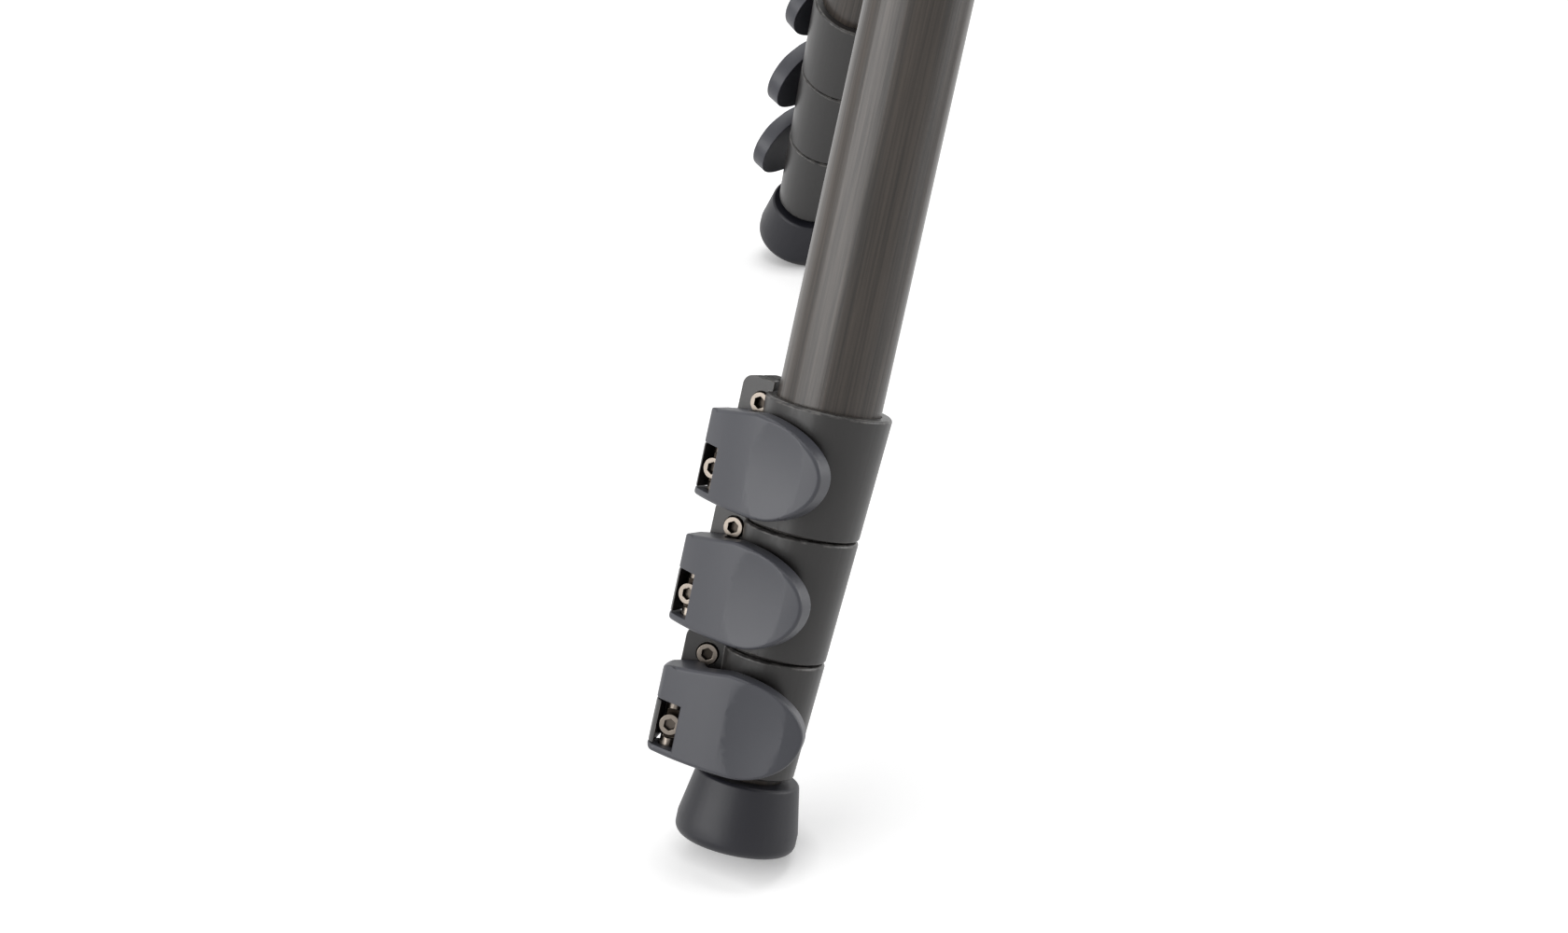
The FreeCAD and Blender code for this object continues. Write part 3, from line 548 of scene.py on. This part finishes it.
def column_piece():
    """Centre column with its closed, rounded end."""
    low, high, radius = extent_along("column_tube", Matrix.Identity(4))
    inner = radius - sizes().column_wall
    bm = bmesh.new()
    rounded = [(radius - COLUMN_ROUND + COLUMN_ROUND * math.sin(angle),
                low + COLUMN_ROUND - COLUMN_ROUND * math.cos(angle))
               for angle in (math.radians(15 * step) for step in range(7))]
    turned_profile(bm, [(0.0, low)] + rounded + [(radius, high), (inner, high), (inner, low + COLUMN_FLOOR),
                                                 (0.0, low + COLUMN_FLOOR)], sizes().tube_sides)
    strand_map(bm, Matrix.Identity(4))
    as_piece("column_tube.shell", bm, finish("fibre"), "column", ["column_tube"])


# Stage

def soft_box(name, place, aim, size, power):
    """Area lamp turned towards a point."""
    data = bpy.data.lights.new(name, "AREA")
    data.shape = "RECTANGLE"
    data.size, data.size_y = size
    data.energy = power
    lamp = bpy.data.objects.new(name, data)
    lamp.location = place
    lamp.rotation_euler = (Vector(aim) - Vector(place)).to_track_quat("-Z", "Y").to_euler()
    lamp.visible_camera = False
    bpy.context.scene.collection.objects.link(lamp)


def floor_finish():
    """Pale floor that keeps the shadow: where it is seen it is brightened towards white."""
    material = bpy.data.materials.new("white floor")
    material.use_nodes = True
    tree = material.node_tree
    tree.nodes.clear()
    path = add(tree, "ShaderNodeLightPath")
    matt = add(tree, "ShaderNodeBsdfDiffuse", {"Color": list(colours().floor) + [1.0]})
    dim = add(tree, "ShaderNodeBsdfDiffuse", {"Color": list(colours().floor_bounce) + [1.0]})
    place = add(tree, "ShaderNodeTexCoord").outputs["Object"]
    far = add(tree, "ShaderNodeVectorMath", {0: place}, operation="LENGTH").outputs["Value"]
    level = add(tree, "ShaderNodeMapRange", {"Value": far, "From Min": GLOW_NEAR,
                                             "From Max": GLOW_FAR, "To Min": stage().glow})
    # Ambient occlusion dims the glow where a piece meets the floor: a painted contact shadow
    near = add(tree, "ShaderNodeAmbientOcclusion", {"Distance": stage().contact}).outputs["AO"]
    kept = add(tree, "ShaderNodeMath", {0: level.outputs[0], 1: near}, operation="MULTIPLY")
    glow = add(tree, "ShaderNodeEmission", {"Color": WHITE, "Strength": kept.outputs[0]})
    lit = add(tree, "ShaderNodeAddShader", {0: matt.outputs[0], 1: glow.outputs[0]})
    direct = add(tree, "ShaderNodeMath", {0: path.outputs["Is Camera Ray"],
                                          1: path.outputs["Is Glossy Ray"]}, operation="MAXIMUM")
    seen = add(tree, "ShaderNodeMixShader", {0: direct.outputs[0], 1: dim.outputs[0], 2: lit.outputs[0]})
    out = add(tree, "ShaderNodeOutputMaterial")
    tree.links.new(seen.outputs[0], out.inputs["Surface"])
    return material


def background(scene):
    """White background that lights the object at a plain level."""
    world = bpy.data.worlds.new("studio")
    world.use_nodes = True
    scene.world = world
    tree = world.node_tree
    tree.nodes.clear()
    path = add(tree, "ShaderNodeLightPath")
    glossy = add(tree, "ShaderNodeMath", {0: path.outputs["Is Camera Ray"],
                                          1: path.outputs["Is Glossy Ray"]}, operation="MAXIMUM")
    direct = add(tree, "ShaderNodeMath", {0: glossy.outputs[0],
                                          1: path.outputs["Is Transmission Ray"]}, operation="MAXIMUM")
    level = add(tree, "ShaderNodeMapRange", {"Value": direct.outputs[0], "To Min": stage().sky})
    light = add(tree, "ShaderNodeBackground", {"Color": WHITE, "Strength": level.outputs[0]})
    out = add(tree, "ShaderNodeOutputWorld")
    tree.links.new(light.outputs[0], out.inputs["Surface"])


# Operators

class TRIPOD_OT_tubes(bpy.types.Operator):
    """Make the leg tubes with their lengthwise fibre"""
    bl_idname = "tripod.tubes"
    bl_label = "Leg Tubes"

    def execute(self, context):
        for leg in LEGS:
            place = leg_frame(leg)
            for number in TUBES:
                tube_piece("%s_leg_tube_%d" % (leg, number), place, sizes().wall, finish("fibre"))
        return {"FINISHED"}


class TRIPOD_OT_locks(bpy.types.Operator):
    """Make the lock collars, levers and fasteners with softened edges"""
    bl_idname = "tripod.locks"
    bl_label = "Flip Locks"

    def execute(self, context):
        for leg in LEGS:
            for number in LOCKS:
                base = "%s_leg_lock_" % leg
                softened("%scollar_%d" % (base, number), sizes().edge, finish("casting"))
                softened("%slever_%d" % (base, number), sizes().edge, finish("lever"))
                softened("%sfasteners_%d" % (base, number), sizes().metal_edge, finish("steel"),
                         hollows=SOCKET_REACH)
        return {"FINISHED"}


class TRIPOD_OT_feet(bpy.types.Operator):
    """Make the rubber feet"""
    bl_idname = "tripod.feet"
    bl_label = "Feet"

    def execute(self, context):
        for leg in LEGS:
            softened(leg + "_leg_foot", sizes().edge, finish("rubber"))
        return {"FINISHED"}


class TRIPOD_OT_hub(bpy.types.Operator):
    """Make the hub, the yokes, the tabs and the hinge bolts"""
    bl_idname = "tripod.hub"
    bl_label = "Hub"

    def execute(self, context):
        for leg in LEGS:
            softened(leg + "_leg_yoke", sizes().edge, finish("casting"))
            softened(leg + "_leg_angle_tab", sizes().metal_edge, finish("anodised"))
        softened("hub_casting", sizes().edge, finish("casting"))
        softened("leg_pivot_bolts", sizes().metal_edge, finish("steel"), hollows=BOLT_REACH)
        return {"FINISHED"}


class TRIPOD_OT_head(bpy.types.Operator):
    """Make the column and the ball head"""
    bl_idname = "tripod.head"
    bl_label = "Column and Head"

    def execute(self, context):
        column_piece()
        for node, name in (("column_top_plate", "anodised"), ("head_housing", "anodised"),
                           ("head_ball", "ball"), ("clamp_body", "anodised"), ("camera_plate", "anodised"),
                           ("camera_screw", "steel"), ("ball_lock_knob", "rubber"),
                           ("column_lock_knob", "rubber"), ("clamp_knob", "rubber")):
            softened(node, sizes().metal_edge, finish(name))
        return {"FINISHED"}


class TRIPOD_OT_stage(bpy.types.Operator):
    """Lay the floor and set the lamps, the background and the camera"""
    bl_idname = "tripod.stage"
    bl_label = "Stage"

    def execute(self, context):
        scene = context.scene
        scene.view_settings.view_transform = "Standard"
        bm = bmesh.new()
        bmesh.ops.create_grid(bm, x_segments=8, y_segments=8, size=FLOOR_HALF)
        mesh = bpy.data.meshes.new("floor")
        bm.to_mesh(mesh)
        bm.free()
        floor = bpy.data.objects.new("floor", mesh)
        scene.collection.objects.link(floor)
        mesh.materials.append(floor_finish())
        background(scene)
        for name, place, size, power in BOXES:
            soft_box(name, place, LIGHT_AIM, size, getattr(stage(), power))
        camera_data = bpy.data.cameras.new("camera")
        camera_data.lens = stage().lens
        camera_data.sensor_width = SENSOR
        camera_data.clip_start = 0.01
        camera = bpy.data.objects.new("camera", camera_data)
        turn = (Matrix.Rotation(stage().camera_heading, 3, "Z")
                @ Matrix.Rotation(math.pi / 2 - stage().camera_down, 3, "X")
                @ Matrix.Rotation(stage().camera_roll, 3, "Z"))
        camera.location = stage().camera_place
        camera.rotation_euler = turn.to_euler()
        scene.collection.objects.link(camera)
        scene.camera = camera
        return {"FINISHED"}


class TRIPOD_PT_panel(bpy.types.Panel):
    """Lists the tripod's operators and settings"""
    bl_idname = "TRIPOD_PT_panel"
    bl_label = "Travel Tripod"
    bl_space_type = "VIEW_3D"
    bl_region_type = "UI"
    bl_category = "Tripod"

    def draw(self, context):
        for operator in OPERATORS:
            self.layout.operator(operator.bl_idname)
        for settings in (sizes(), colours(), stage()):
            box = self.layout.box()
            for name in settings.bl_rna.properties.keys():
                if name not in ("rna_type", "name"):
                    box.prop(settings, name)


SETTINGS = (("tripod_sizes", TripodSizes), ("tripod_colours", TripodColours), ("tripod_stage", TripodStage))
OPERATORS = (TRIPOD_OT_stage, TRIPOD_OT_tubes, TRIPOD_OT_locks, TRIPOD_OT_feet, TRIPOD_OT_hub,
             TRIPOD_OT_head)


def register():
    for _, group in SETTINGS:
        bpy.utils.register_class(group)
    for name, group in SETTINGS:
        setattr(bpy.types.Scene, name, PointerProperty(type=group))
    for item in OPERATORS + (TRIPOD_PT_panel,):
        bpy.utils.register_class(item)


def unregister():
    for item in reversed(OPERATORS + (TRIPOD_PT_panel,)):
        bpy.utils.unregister_class(item)
    for name, _ in SETTINGS:
        delattr(bpy.types.Scene, name)
    for _, group in reversed(SETTINGS):
        bpy.utils.unregister_class(group)


def main():
    register()
    bpy.ops.tripod.stage()
    bpy.ops.tripod.tubes()
    bpy.ops.tripod.locks()
    bpy.ops.tripod.feet()
    bpy.ops.tripod.hub()
    bpy.ops.tripod.head()


if __name__ == "__main__":
    main()
